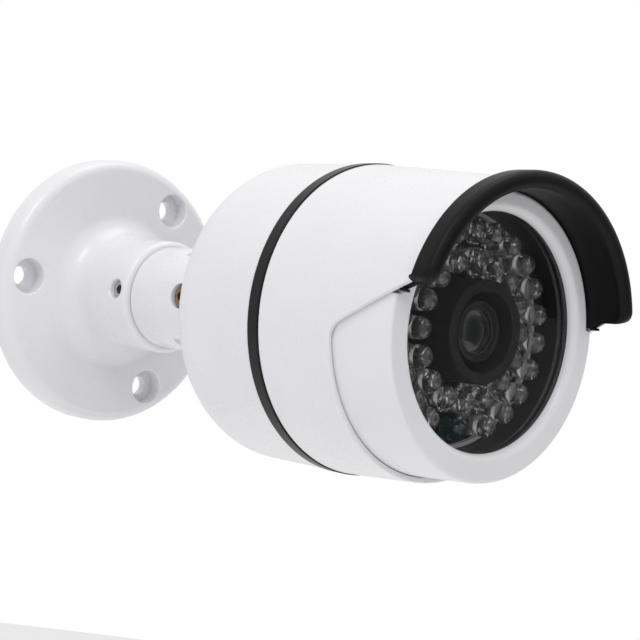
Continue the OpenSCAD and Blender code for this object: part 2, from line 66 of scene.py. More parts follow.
FLANGE_R, _, HUB_LEN = reach("base_flange")
BODY_R, REAR_D, _ = reach("rear_shell")
RING_R, RING_D, FRONT_D = reach("seam_ring")
_, BEZEL_BACK, NOSE_D = reach("bezel")
LIP_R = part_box("sunshade")[1].z / MM
GLASS_R, GLASS_D, GLASS_TOP = reach("window_glass")
BOARD_R, BOARD_BACK, BOARD_TOP = reach("led_board")
BAFFLE_TOP = reach("lens_baffle")[2]
LENS_HEAD_R, _, LENS_TOP = reach("lens_barrel")
LED_TIP = reach("leds_inner")[2]
GASKET_R, GASKET_BACK, GASKET_TOP = reach("window_gasket")
PIVOT_D = -(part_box("tilt_screw_left")[0].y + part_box("tilt_screw_left")[1].y) / 2 / MM

# Sizes of the shapes that the looks add or repeat, in mm and degrees.
RIM_ROUND = 3.0
FLANGE_T = 7.0
HUB_R = 15.0
HUB_FILLET = 6.5
HUB_EDGE_ROUND = 1.5
BOLT_CIRCLE_R = 29.25
BOLT_ANGLES = (60, 180, 300)
BOLT_HOLE_R = 2.6
BOLT_HEAD_R = 4.65
BOLT_FLOOR = 2.6
NUT_POCKET_R = 13.0
NUT_POCKET_D = 9.0
SPIGOT_BORE_R = 8.08
GRUB_D = 26.2
GRUB_R = 2.48
CAST_ROUND = 0.35
CAP_HEAD_H = 2.6
CAP_HEAD_ROUND = 0.45
CAP_SHANK_R = 2.0
SOCKET_RIM_R = 1.45
SOCKET_R = 1.42
SOCKET_DEPTH = 1.6
REAR_ROUND = 9.4
SHELL_WALL = 2.2
REAR_WALL = 3.0
STUD_HOLE_R = 7.08
SPIGOT_LIP_T = 1.6
SPIGOT_LIP_LEN = 5
PRESS_GAP = 0.05
HOOD_WALL = 1.3
HOOD_EDGE_ROUND = 0.4
HOOD_CORNER_SOFT = 1.2
HOOD_BORE_BACK = 6.2
SHELL_TAPER = 0.055
EDGE_D = NOSE_D - 15.9
EAR_DROP = 4.1
EAR_SLOPE = math.tan(math.radians(29.5))
EAR_ROUND = 5.0
HOOD_D = NOSE_D + 4.9
HOOD_LEAN = math.tan(math.radians(1.2))
NEST = HOOD_WALL + 0.1
BEZEL_WALL = 2.2
BEZEL_ROUND = 0.9
POCKET_LOW_Z = 4.5
LEDGE_W = 0.7
LEDGE_GAP = 0.4
LEDGE_T = 1.4
VISOR_T = 1.4
SKIRT_LOW_Z = 5.3
SKIRT_LEN = 8
LIP_T = 4.0
LIP_LEN = 5.2
LIP_LOW_Z = 7.4
LIP_CORNER = 2.8
WINDOW_R = 26.3
WINDOW_ROUND = 2.0
GASKET_GAP = 0.1
GASKET_ROUND = 0.3
GLASS_EDGE = 0.25
LED_R = 2.5
LED_BASE_H = 1.0
LED_FLANGE = 0.4
INNER_COUNT = 16
INNER_RING_R = 15.8
INNER_START = 5.0
OUTER_COUNT = 22
OUTER_RING_R = 22.2
OUTER_START = -90 + 180 / OUTER_COUNT
BAFFLE_R = 11.5
BAFFLE_HOLE_R = 8.9
BAFFLE_FOOT = 1.2
BAFFLE_ROUND = 0.5
LENS_BORE_R = 3.6
LENS_THREAD_R = 6.0
LENS_HEAD_LEN = 14.8
LENS_RINGS = 3
LENS_RING_STEP = 0.22
FRONT_GLASS_RISE = 0.9
STOP_R = 3.55
STOP_HOLE_R = 1.5
INNER_GLASS_R = 3.5
INNER_GLASS_RISE = 1.6

STEPS_ROUND = 720  # sections round the front shell and the bezel
VISOR_STEPS = 150
LIP_STEP_Z = 0.12
WELD = 2e-6  # metres within which points become one


# ---------------------------------------------------------------- mesh tools


def arc(x, y, radius, start, end, steps=10):
    """Points of an arc round (x, y), with its angles in degrees."""
    turns = [math.radians(start + (end - start) * i / steps) for i in range(steps + 1)]
    return [(x + radius * math.cos(t), y + radius * math.sin(t)) for t in turns]


def supported(profile, hold=0.22):
    """A closed profile with points near the ends of its long sides, so that its edges shade cleanly."""
    points = []
    for (ax, ay), (bx, by) in zip(profile, profile[1:] + profile[:1]):
        points.append((ax, ay))
        length = math.hypot(bx - ax, by - ay)
        if length > 4 * hold:
            for along in (hold / length, 1 - hold / length):
                points.append((ax + (bx - ax) * along, ay + (by - ay) * along))
    return points


def polar(radius, angle, distance):
    """A point in metres from a radius, an angle from +X towards +Z, and a distance from the wall."""
    turn = math.radians(angle)
    return Vector((radius * math.cos(turn), -distance, radius * math.sin(turn))) * MM


def finish_mesh(name, mesh_builder, material, sharp=32):
    """Makes an object from a bmesh: merges doubles, turns faces outwards and shades it smooth."""
    bmesh.ops.remove_doubles(mesh_builder, verts=mesh_builder.verts, dist=WELD)
    bmesh.ops.recalc_face_normals(mesh_builder, faces=mesh_builder.faces)
    mesh = bpy.data.meshes.new(name)
    mesh_builder.to_mesh(mesh)
    mesh_builder.free()
    mesh.shade_smooth()
    mesh.set_sharp_from_angle(angle=math.radians(sharp))
    piece = bpy.data.objects.new(name, mesh)
    bpy.context.scene.collection.objects.link(piece)
    mesh.materials.append(material)
    return piece


def skin(builder, rows, wrap=True):
    """Adds the surface through rows of points, each a closed loop. wrap joins the last row to the first."""
    grid = [[builder.verts.new(point) for point in row] for row in rows]
    count = len(grid[0])
    pairs = list(zip(grid, grid[1:] + grid[:1])) if wrap else list(zip(grid, grid[1:]))
    for near, far in pairs:
        for i in range(count):
            j = (i + 1) % count
            builder.faces.new((near[i], near[j], far[j], far[i]))
    if not wrap:
        builder.faces.new(grid[0])
        builder.faces.new(list(reversed(grid[-1])))


def swept(name, section, angles, material, wrap=True, sharp=32):
    """Sweeps a section round the camera's axis. section(angle) gives its (radius, distance) points."""
    builder = bmesh.new()
    skin(builder, [[polar(r, angle, d) for r, d in section(angle)] for angle in angles], wrap)
    return finish_mesh(name, builder, material, sharp)


def all_round(steps):
    """Evenly spaced angles of a full turn, in degrees."""
    return [360 * i / steps for i in range(steps)]


def lathe(name, profile, material, segments=192, hold=0.22):
    """Turns a closed (radius, distance) profile round the camera's axis."""
    points = supported(profile, hold)
    return swept(name, lambda _: points, all_round(segments), material)


def turned(builder, place, profile, segments):
    """Adds a small turned solid to a bmesh. The profile is (radius, height), and place is its matrix."""
    rows = []
    for i in range(segments):
        turn = 2 * math.pi * i / segments
        rows.append([place @ (Vector((r * math.cos(turn), r * math.sin(turn), h)) * MM) for r, h in profile])
    skin(builder, rows)


def block(builder, place, low, high):
    """Adds a box from low to high, in mm, to a bmesh."""
    size = [high[i] - low[i] for i in range(3)]
    centre = Vector([(high[i] + low[i]) / 2 for i in range(3)]) * MM
    scale = Matrix.Diagonal((size[0] * MM, size[1] * MM, size[2] * MM, 1))
    bmesh.ops.create_cube(builder, size=1, matrix=place @ Matrix.Translation(centre) @ scale)


def on_axis(radius, angle, distance):
    """Matrix that stands a small piece on the camera's front side: its z points along -Y."""
    turn = Matrix.Rotation(math.radians(90), 4, "X")
    spin = Matrix.Rotation(math.radians(angle), 4, "Z")
    return Matrix.Translation(polar(radius, angle, distance)) @ turn @ spin


def cut_out(piece, cutter_builder, sharp=32):
    """Cuts the cutter's closed mesh out of a piece, for good."""
    mesh = bpy.data.meshes.new("cutter")
    bmesh.ops.recalc_face_normals(cutter_builder, faces=cutter_builder.faces)
    cutter_builder.to_mesh(mesh)
    cutter_builder.free()
    cutter = bpy.data.objects.new("cutter", mesh)
    bpy.context.scene.collection.objects.link(cutter)
    change = piece.modifiers.new("cut", "BOOLEAN")
    change.operation = "DIFFERENCE"
    change.solver = "EXACT"
    change.object = cutter
    apply_modifiers(piece)
    bpy.data.objects.remove(cutter)
    piece.data.shade_smooth()
    piece.data.set_sharp_from_angle(angle=math.radians(sharp))


def apply_modifiers(piece):
    """Makes the result of a piece's modifiers its own mesh."""
    graph = bpy.context.evaluated_depsgraph_get()
    graph.update()
    mesh = bpy.data.meshes.new_from_object(piece.evaluated_get(graph))
    piece.modifiers.clear()
    piece.data = mesh


def softened(node, material, width=0.3, segments=3, sharp=38):
    """A copy of a CAD node's mesh with its flat faces whole and its sharp edges rounded by width mm."""
    builder = bmesh.new()
    builder.from_mesh(frame["nodes"][node].data)
    bmesh.ops.remove_doubles(builder, verts=builder.verts, dist=1e-6)
    flat = math.radians(0.5)
    bmesh.ops.dissolve_limit(
        builder, angle_limit=flat, verts=builder.verts, edges=builder.edges, delimit={"NORMAL"}
    )
    mesh = bpy.data.meshes.new(node + "_soft")
    builder.to_mesh(mesh)
    builder.free()
    mesh.materials.clear()
    mesh.materials.append(material)
    piece = bpy.data.objects.new(node + "_soft", mesh)
    bpy.context.scene.collection.objects.link(piece)
    bevel = piece.modifiers.new("edges", "BEVEL")
    bevel.width = width * MM
    bevel.segments = segments
    bevel.limit_method = "ANGLE"
    bevel.angle_limit = math.radians(sharp)
    bevel.use_clamp_overlap = True
    apply_modifiers(piece)
    piece.data.shade_smooth()
    piece.data.set_sharp_from_angle(angle=math.radians(sharp))
    return piece


# ---------------------------------------------------------------- materials


class Nodes:
    """Short ways to add shader nodes to one material."""

    def __init__(self, name):
        self.material = bpy.data.materials.new(name)
        self.material.use_nodes = True
        self.tree = self.material.node_tree
        self.shader = self.tree.nodes["Principled BSDF"]
        self.output = self.tree.nodes["Material Output"]
        self.place = self.add("ShaderNodeTexCoord").outputs["Object"]

    def add(self, kind, **settings):
        node = self.tree.nodes.new(kind)
        for key, value in settings.items():
            setattr(node, key, value)
        return node

    def link(self, source, target):
        self.tree.links.new(source, target)

    def stretched(self, scale):
        mapping = self.add("ShaderNodeMapping")
        mapping.inputs["Scale"].default_value = scale
        self.link(self.place, mapping.inputs["Vector"])
        return mapping.outputs["Vector"]

    def noise(self, grain_mm, detail=3.0, stretch=None):
        node = self.add("ShaderNodeTexNoise")
        node.inputs["Scale"].default_value = 1 / (grain_mm * MM)
        node.inputs["Detail"].default_value = detail
        self.link(self.stretched(stretch) if stretch else self.place, node.inputs["Vector"])
        return node.outputs["Fac"]

    def between(self, factor, low, high, start=0.3, end=0.7):
        """A value that goes from low to high as factor goes from start to end."""
        node = self.add("ShaderNodeMapRange")
        for name, value in (("From Min", start), ("From Max", end), ("To Min", low), ("To Max", high)):
            node.inputs[name].default_value = value
        self.link(factor, node.inputs["Value"])
        return node.outputs["Result"]

    def blend(self, factor, first, second):
        """A colour between first and second, each a colour or a socket."""
        node = self.add("ShaderNodeMix", data_type="RGBA")
        self.link(factor, node.inputs["Factor"])
        for socket, value in ((node.inputs["A"], first), (node.inputs["B"], second)):
            if isinstance(value, tuple):
                socket.default_value = (*value, 1)
            else:
                self.link(value, socket)
        return node.outputs["Result"]

    def bump(self, height, depth_mm, before=None, strength=1.0):
        node = self.add("ShaderNodeBump")
        node.inputs["Distance"].default_value = depth_mm * MM
        node.inputs["Strength"].default_value = strength
        self.link(height, node.inputs["Height"])
        if before:
            self.link(before, node.inputs["Normal"])
        return node.outputs["Normal"]

    def set(self, **values):
        for key, value in values.items():
            self.shader.inputs[key.replace("_", " ")].default_value = value

    def lets_lamps_through(self):
        """Mixes in a transparent shader for shadow rays, so that what lies behind clear glass is lit."""
        path = self.add("ShaderNodeLightPath")
        clear = self.add("ShaderNodeBsdfTransparent")
        mix = self.add("ShaderNodeMixShader")
        self.link(path.outputs["Is Shadow Ray"], mix.inputs["Fac"])
        self.link(self.shader.outputs["BSDF"], mix.inputs[1])
        self.link(clear.outputs["BSDF"], mix.inputs[2])
        self.link(mix.outputs["Shader"], self.output.inputs["Surface"])


MOTTLE_MM = 14.0


def coated(name, colour, shade, roughness, grain_mm, depth_mm, coat=0.0, metallic=0.0, gloss=0.5):
    """Paint, plastic or rubber: slow colour drift, fine grain in the gloss and a shallow texture."""
    m = Nodes(name)
    drift = m.noise(MOTTLE_MM, detail=4)
    grain = m.noise(grain_mm, detail=4)
    m.link(m.blend(m.between(drift, 0, 1), colour, shade), m.shader.inputs["Base Color"])
    m.link(m.between(grain, roughness * 0.85, roughness * 1.2), m.shader.inputs["Roughness"])
    m.link(m.bump(grain, depth_mm), m.shader.inputs["Normal"])
    m.set(Metallic=metallic, Coat_Weight=coat, Coat_Roughness=0.08, Specular_IOR_Level=gloss)
    return m.material


def brushed(name, colour, shade, roughness):
    """Metal with fine turning marks along the axis and slightly uneven tone."""
    m = Nodes(name)
    marks = m.noise(0.5, detail=5, stretch=(1, 14, 1))
    drift = m.noise(3.0, detail=3)
    m.link(m.blend(m.between(drift, 0, 1), colour, shade), m.shader.inputs["Base Color"])
    m.link(m.between(marks, roughness * 0.7, roughness * 1.4), m.shader.inputs["Roughness"])
    m.link(m.bump(marks, 0.01), m.shader.inputs["Normal"])
    m.set(Metallic=1.0)
    return m.material


def circuit(name, mask, copper, roughness, gloss):
    """A circuit board: solder mask over faint raised tracks."""
    m = Nodes(name)
    tracks = m.add("ShaderNodeTexVoronoi", feature="DISTANCE_TO_EDGE", distance="MANHATTAN")
    tracks.inputs["Scale"].default_value = 1 / (2.4 * MM)
    m.link(m.place, tracks.inputs["Vector"])
    line = m.between(tracks.outputs["Distance"], 1, 0, start=0.04, end=0.07)
    m.link(m.blend(line, mask, copper), m.shader.inputs["Base Color"])
    m.link(m.bump(line, 0.03, strength=0.6), m.shader.inputs["Normal"])
    m.link(m.between(m.noise(0.4), roughness * 0.8, roughness * 1.2), m.shader.inputs["Roughness"])
    m.set(Specular_IOR_Level=gloss)
    return m.material


def clear(name, colour, ior, film=0.0, milk=0.0):
    """Clear glass or resin that lamps shine through, with faint smears in its polish."""
    m = Nodes(name)
    m.set(Base_Color=(*colour, 1), IOR=ior, Transmission_Weight=1.0 - milk, Roughness=0.0)
    if film:
        m.set(Thin_Film_Thickness=film, Thin_Film_IOR=1.38)
    m.link(m.bump(m.noise(6.0, detail=2), 0.002), m.shader.inputs["Normal"])
    m.lets_lamps_through()
    return m.material


white_paint = coated(
    "white_paint", (0.79, 0.786, 0.815), (0.765, 0.76, 0.79),
    roughness=0.30, grain_mm=0.55, depth_mm=0.0002, coat=0.35,
)
white_plastic = coated(
    "white_plastic", (0.79, 0.786, 0.815), (0.765, 0.76, 0.79),
    roughness=0.33, grain_mm=0.35, depth_mm=0.0002, coat=0.15,
)
black_satin = coated(
    "black_satin", (0.005, 0.005, 0.005), (0.008, 0.0075, 0.0075),
    roughness=0.38, grain_mm=0.22, depth_mm=0.006, gloss=0.13,
)
sleeve_black = coated(
    "sleeve_black", (0.012, 0.012, 0.0125), (0.018, 0.018, 0.018),
    roughness=0.45, grain_mm=0.3, depth_mm=0.003, gloss=0.3,
)
black_gloss = coated(
    "black_gloss", (0.004, 0.004, 0.004), (0.007, 0.007, 0.007),
    roughness=0.3, grain_mm=0.3, depth_mm=0.003, gloss=0.25,
)
black_matt = coated(
    "black_matt", (0.006, 0.006, 0.006), (0.012, 0.012, 0.012),
    roughness=0.55, grain_mm=0.18, depth_mm=0.012, gloss=0.2,
)
rubber = coated(
    "black_rubber", (0.01, 0.01, 0.01), (0.016, 0.016, 0.016),
    roughness=0.6, grain_mm=0.15, depth_mm=0.012, gloss=0.25,
)
anodised = coated(
    "black_anodised", (0.02, 0.02, 0.021), (0.03, 0.03, 0.03),
    roughness=0.32, grain_mm=0.12, depth_mm=0.004, metallic=0.6,
)
moulded_chip = coated(
    "moulded_chip", (0.02, 0.02, 0.022), (0.03, 0.03, 0.03),
    roughness=0.5, grain_mm=0.12, depth_mm=0.01,
)
ivory = coated(
    "ivory_plastic", (0.75, 0.70, 0.58), (0.70, 0.64, 0.52),
    roughness=0.4, grain_mm=0.3, depth_mm=0.006,
)
red_plastic = coated(
    "red_plastic", (0.42, 0.06, 0.04), (0.33, 0.05, 0.03),
    roughness=0.45, grain_mm=0.3, depth_mm=0.006,
)
deep_glass = coated(
    "deep_glass", (0.01, 0.008, 0.02), (0.012, 0.01, 0.026),
    roughness=0.04, grain_mm=4.0, depth_mm=0.0005, coat=1.0,
)
steel = brushed("zinc_steel", (0.62, 0.62, 0.63), (0.5, 0.5, 0.51), roughness=0.3)
bronze = brushed("bronze_steel", (0.33, 0.21, 0.13), (0.16, 0.10, 0.07), roughness=0.28)
aluminium = brushed("raw_aluminium", (0.75, 0.75, 0.76), (0.66, 0.66, 0.68), roughness=0.35)
brass = brushed("brass", (0.75, 0.58, 0.27), (0.62, 0.46, 0.2), roughness=0.28)
green_board = circuit("green_board", (0.01, 0.13, 0.06), (0.03, 0.24, 0.11), roughness=0.35, gloss=0.5)
black_board = circuit(
    "black_board", (0.004, 0.004, 0.0045), (0.009, 0.009, 0.0095), roughness=0.5, gloss=0.12
)
pane = clear("window_pane", (0.97, 0.985, 0.98), ior=1.46)
resin = clear("led_resin", (0.93, 0.92, 0.90), ior=1.53, milk=0.03)
tinted_resin = clear("sensor_resin", (0.03, 0.12, 0.11), ior=1.53, milk=0.1)
coated_glass = clear("coated_glass", (0.55, 0.56, 0.62), ior=1.5)
filter_glass = clear("filter_glass", (0.85, 0.45, 0.45), ior=1.5, film=300.0)

BY_SLOT = {
    "white_paint": white_paint,
    "white_plastic": white_plastic,
    "black_plastic": black_matt,
    "black_rubber": rubber,
    "clear_glass": pane,
    "lens_glass": coated_glass,
    "led_resin": resin,
    "sensor_resin": tinted_resin,
    "black_metal": anodised,
    "bronze_steel": bronze,
    "steel": steel,
    "raw_aluminium": aluminium,
    "brass": brass,
    "circuit_board": green_board,
    "black_board": black_board,
    "chip": moulded_chip,
    "connector": ivory,
    "filter_glass": filter_glass,
    "coil_red": red_plastic,
}


def dress_nodes():
    """Gives each CAD node the procedural material of its slot, and shades its round faces smooth."""
    slots = {part["node"]: part["material_slot"] for part in frame["record"]["subparts"]}
    for name, node in frame["nodes"].items():
        node.data.materials.clear()
        node.data.materials.append(BY_SLOT[slots[name]])
        node.data.shade_smooth()
        node.data.set_sharp_from_angle(angle=math.radians(30))


def stands_for(piece, body, slot, *nodes):
    """Makes a piece ride on a body, and hides the CAD nodes that it stands for."""
    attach(piece, body)
    if nodes:
        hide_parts(*nodes)
    return piece


# ---------------------------------------------------------------- bracket


def bolt_hole():
    """Profile of the cutter for a counterbored screw hole with a rounded mouth."""
    soft = 0.45
    mouth = BOLT_HEAD_R + soft
    hole = [(0, -1), (BOLT_HOLE_R, -1), (BOLT_HOLE_R, BOLT_FLOOR), (BOLT_HEAD_R, BOLT_FLOOR)]
    hole += [(BOLT_HEAD_R, FLANGE_T - soft)]
    hole += [(2 * mouth - x, y) for x, y in arc(mouth, FLANGE_T - soft, soft, 0, 90, 5)][1:]
    return hole + [(mouth, FLANGE_T + 3), (0, FLANGE_T + 3)]


def grub_hole():
    """Profile of the cutter for the grub screw's hole, which flares at the hub's surface."""
    flare = GRUB_R + 0.5
    hole = [(0, 2), (GRUB_R, 2), (GRUB_R, HUB_R - 0.55), (flare, HUB_R - 0.05)]
    return hole + [(flare, HUB_R + 2), (0, HUB_R + 2)]


def wall_flange():
    """The round wall flange with its hub, counterbored screw holes and grub screw hole."""
    edge = 0.4
    corner = HUB_EDGE_ROUND
    profile = [(NUT_POCKET_R, edge), (NUT_POCKET_R + edge, 0)]
    profile += [(FLANGE_R - edge, 0), (FLANGE_R, edge)]
    profile += arc(FLANGE_R - RIM_ROUND, FLANGE_T - RIM_ROUND, RIM_ROUND, 0, 90, 12)
    profile += arc(HUB_R + HUB_FILLET, FLANGE_T + HUB_FILLET, HUB_FILLET, 270, 180, 16)
    profile += arc(HUB_R - corner, HUB_LEN - corner, corner, 0, 90, 8)
    profile += [(SPIGOT_BORE_R + 0.3, HUB_LEN), (SPIGOT_BORE_R, HUB_LEN - 0.3)]
    profile += [(SPIGOT_BORE_R, NUT_POCKET_D), (NUT_POCKET_R, NUT_POCKET_D)]
    flange = lathe("wall_flange", profile, white_paint, segments=224)
    cutter = bmesh.new()
    for angle in BOLT_ANGLES:
        turned(cutter, on_axis(BOLT_CIRCLE_R, angle, 0), bolt_hole(), 48)
    to_grub = Matrix.Translation(Vector((0, -GRUB_D, 0)) * MM)
    turned(cutter, to_grub @ Matrix.Rotation(math.radians(-90), 4, "Y"), grub_hole(), 40)
    bmesh.ops.remove_doubles(cutter, verts=cutter.verts, dist=WELD)
    cut_out(flange, cutter)
    return stands_for(flange, "bracket_base", "white_paint", "base_flange")


def bracket():
    """Everything between the wall and the camera's body."""
    wall_flange()
    for node, body in (("swivel_arm", "arm"), ("tail_knuckle", "knuckle")):
        stands_for(softened(node, white_paint, width=CAST_ROUND), body, "white_paint", node)
    for side, body, node in ((1, "right_screw", "tilt_screw_right"), (-1, "left_screw", "tilt_screw_left")):
        stands_for(cap_screw(side, node), body, "bronze_steel", node)


def cap_screw(side, node):
    """A socket cap screw with a chamfered head and a hexagonal socket."""
    low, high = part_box(node)
    inner, outer = min(abs(low.x), abs(high.x)) / MM, max(abs(low.x), abs(high.x)) / MM
    head_r = (high.z - low.z) / 2 / MM
    seat = outer - CAP_HEAD_H
    to_pivot = Matrix.Translation(Vector((0, -PIVOT_D, 0)) * MM)
    place = to_pivot @ Matrix.Rotation(math.radians(90 * side), 4, "Y")
    soft = CAP_HEAD_ROUND
    profile = [(0, inner), (CAP_SHANK_R - 0.3, inner), (CAP_SHANK_R, inner + 0.4), (CAP_SHANK_R, seat)]
    profile += [(head_r - 0.1, seat), (head_r, seat + 0.15)]
    profile += arc(head_r - soft, outer - soft, soft, 0, 90, 6)
    profile += [(SOCKET_RIM_R + 0.2, outer), (SOCKET_RIM_R, outer - 0.15)]
    profile += [(SOCKET_RIM_R, outer - 0.2), (0, outer - 0.2)]
    builder = bmesh.new()
    turned(builder, place, profile, 48)
    screw = finish_mesh(node + "_cap", builder, bronze)
    socket = bmesh.new()
    floor = outer - SOCKET_DEPTH
    hexagon = [(0, floor), (SOCKET_R, floor + 0.2), (SOCKET_R, outer + 1), (0, outer + 1)]
    turned(socket, place, hexagon, 6)
    bmesh.ops.remove_doubles(socket, verts=socket.verts, dist=WELD)
    cut_out(screw, socket)
    return screw


# ---------------------------------------------------------------- shells, hood and visor


def soft_least(a, b, width):
    """The lesser of two lengths, rounded where they meet."""
    h = max(width - abs(a - b), 0) / width
    return min(a, b) - h * h * width / 4


def shell_at(d):
    """Outer radius of the tapering front shell at a distance from the wall."""
    return BODY_R - SHELL_TAPER * (d - FRONT_D)


def hood_edge(z):
    """Distance from the wall of the hood's edge at height z, seen from the side."""
    half = (90 + math.degrees(math.atan(EAR_SLOPE))) / 2
    tangent = EAR_ROUND / math.tan(math.radians(half))
    if z <= -EAR_DROP - tangent:
        return EDGE_D
    if z < -EAR_DROP + tangent * math.sin(math.atan(EAR_SLOPE)):
        away = z + EAR_DROP + tangent
        return EDGE_D + EAR_ROUND - math.sqrt(EAR_ROUND**2 - away**2)
    line = EDGE_D + (z + EAR_DROP) / EAR_SLOPE
    return soft_least(line, HOOD_D + HOOD_LEAN * z, HOOD_CORNER_SOFT)


def edge_at(angle):
    """The hood's edge at an angle round the axis, where the tapering radius sets the height."""
    edge = EDGE_D
    for _ in range(6):
        edge = hood_edge(shell_at(edge) * math.sin(math.radians(angle)))
    return edge


def front_shell_section(angle):
    """The front shell's section at an angle round the axis."""
    inner = BODY_R - SHELL_WALL + PRESS_GAP
    soft = HOOD_EDGE_ROUND
    bore_d = EDGE_D - HOOD_BORE_BACK
    end = edge_at(angle) - soft
    outer = shell_at(end)
    profile = [(inner + 0.2, FRONT_D), (BODY_R - 0.25, FRONT_D), (BODY_R - 0.07, FRONT_D + 0.07)]
    tube = (FRONT_D + 0.25, FRONT_D + 0.6, FRONT_D + 8, end - 0.5, end - 0.15)
    profile += [(shell_at(d), d) for d in tube]
    profile += arc(outer - soft, end, soft, 0, 90, 5)
    profile += arc(outer - HOOD_WALL + soft, end, soft, 90, 180, 3)
    profile += [(shell_at(d) - HOOD_WALL, d) for d in (end - 0.4, bore_d)]
    return profile + [(inner, bore_d - 0.2)]


def front_shell():
    """The front shell: a tapering tube whose front edge runs forward over the window as a hood."""
    angles = all_round(STEPS_ROUND)
    shell = swept("front_shell_hooded", front_shell_section, angles, white_paint, sharp=40)
    return stands_for(shell, "camera", "white_paint", "front_shell")


def rear_shell():
    """The rear shell: a cup with a large rounded rear edge and a spigot lip."""
    centre_r, centre_d = BODY_R - REAR_ROUND, REAR_D + REAR_ROUND
    inner = BODY_R - SHELL_WALL
    lip_top, lip_back = FRONT_D + SPIGOT_LIP_LEN, RING_D - SPIGOT_LIP_LEN
    profile = [(STUD_HOLE_R, REAR_D + 0.4), (STUD_HOLE_R + 0.4, REAR_D)]
    profile += arc(centre_r, centre_d, REAR_ROUND, 270, 360, 40)
    profile += [(BODY_R, RING_D - 0.3), (BODY_R - 0.1, RING_D - 0.08), (BODY_R - 0.3, RING_D)]
    profile += [(inner - PRESS_GAP, RING_D), (inner - PRESS_GAP, lip_top), (inner - SPIGOT_LIP_T, lip_top)]
    profile += [(inner - SPIGOT_LIP_T, lip_back), (inner, lip_back)]
    profile += arc(centre_r, centre_d, REAR_ROUND - SHELL_WALL, 360, 276, 20)
    profile += [(centre_r, REAR_D + REAR_WALL), (STUD_HOLE_R, REAR_D + REAR_WALL)]
    shell = lathe("rear_shell_cup", profile, white_paint, segments=256)
    return stands_for(shell, "camera", "white_paint", "rear_shell")


def seam_ring():
    """The black ring between the shells, slightly proud and with rounded edges."""
    inner = BODY_R - SHELL_WALL + PRESS_GAP
    soft = 0.28
    neck_r = BODY_R - 0.35
    profile = [(inner, RING_D + 0.02), (neck_r, RING_D + 0.02), (neck_r, RING_D + 0.1)]
    profile += arc(RING_R - soft, RING_D + 0.1 + soft, soft, 270, 360, 6)
    profile += arc(RING_R - soft, FRONT_D - 0.1 - soft, soft, 0, 90, 6)
    profile += [(neck_r, FRONT_D - 0.1), (neck_r, FRONT_D - 0.02), (inner, FRONT_D - 0.02)]
    ring = lathe("seam_band", profile, black_gloss, segments=256)
    return stands_for(ring, "camera", "black_plastic", "seam_ring")


def share(value, start, width):
    """How far value is past start, as a share of width from 0 to 1."""
    return min(max((value - start) / width, 0), 1)


def bezel_section(angle):
    """The bezel's section at an angle, with a pocket under the hood for the visor's skirt."""
    ledge_r = BOARD_R - LEDGE_W
    ledge_d = BOARD_TOP + LEDGE_GAP
    soft = BEZEL_ROUND
    height = shell_at(NOSE_D) * math.sin(math.radians(angle))
    pocket = (VISOR_T + 0.1) * share(height, POCKET_LOW_Z, 0.4)
    depth = NEST + pocket
    outer = shell_at(NOSE_D) - depth
    back = shell_at(BEZEL_BACK) - NEST
    profile = [(back - BEZEL_WALL, BEZEL_BACK), (back - 0.3, BEZEL_BACK), (back - 0.02, BEZEL_BACK + 0.3)]
    profile += [(shell_at(EDGE_D + 4) - NEST, EDGE_D + 4), (shell_at(EDGE_D + 4.2) - depth, EDGE_D + 4.2)]
    profile += [(shell_at(NOSE_D - 1.3) - depth, NOSE_D - 1.3)]
    profile += arc(outer - soft, NOSE_D - soft, soft, 0, 90, 8)
    profile += [(outer - soft - 0.25, NOSE_D), (WINDOW_R + WINDOW_ROUND + 0.25, NOSE_D)]
    profile += arc(WINDOW_R + WINDOW_ROUND, NOSE_D - WINDOW_ROUND, WINDOW_ROUND, 90, 180, 12)
    profile += [(WINDOW_R, GLASS_TOP + 0.02), (GLASS_R + 0.1, GLASS_TOP + 0.02)]
    profile += [(GLASS_R + 0.1, ledge_d + LEDGE_T), (ledge_r, ledge_d + LEDGE_T), (ledge_r, ledge_d)]
    return profile + [(back - BEZEL_WALL, ledge_d)]


def bezel():
    """The white front ring round the window."""
    ring = swept("bezel_ring", bezel_section, all_round(STEPS_ROUND), white_plastic)
    return stands_for(ring, "camera", "white_plastic", "bezel")


def lip_angles():
    """Angles round the axis from one lower end of the visor to the other, close together at the ends."""
    top_z = 17
    count = int((top_z - SKIRT_LOW_Z) / LIP_STEP_Z)
    low = [math.degrees(math.asin((SKIRT_LOW_Z + LIP_STEP_Z * i) / LIP_R)) for i in range(count)]
    middle = [low[-1] + (180 - 2 * low[-1]) * i / VISOR_STEPS for i in range(1, VISOR_STEPS)]
    return low + middle + [180 - a for a in reversed(low)]


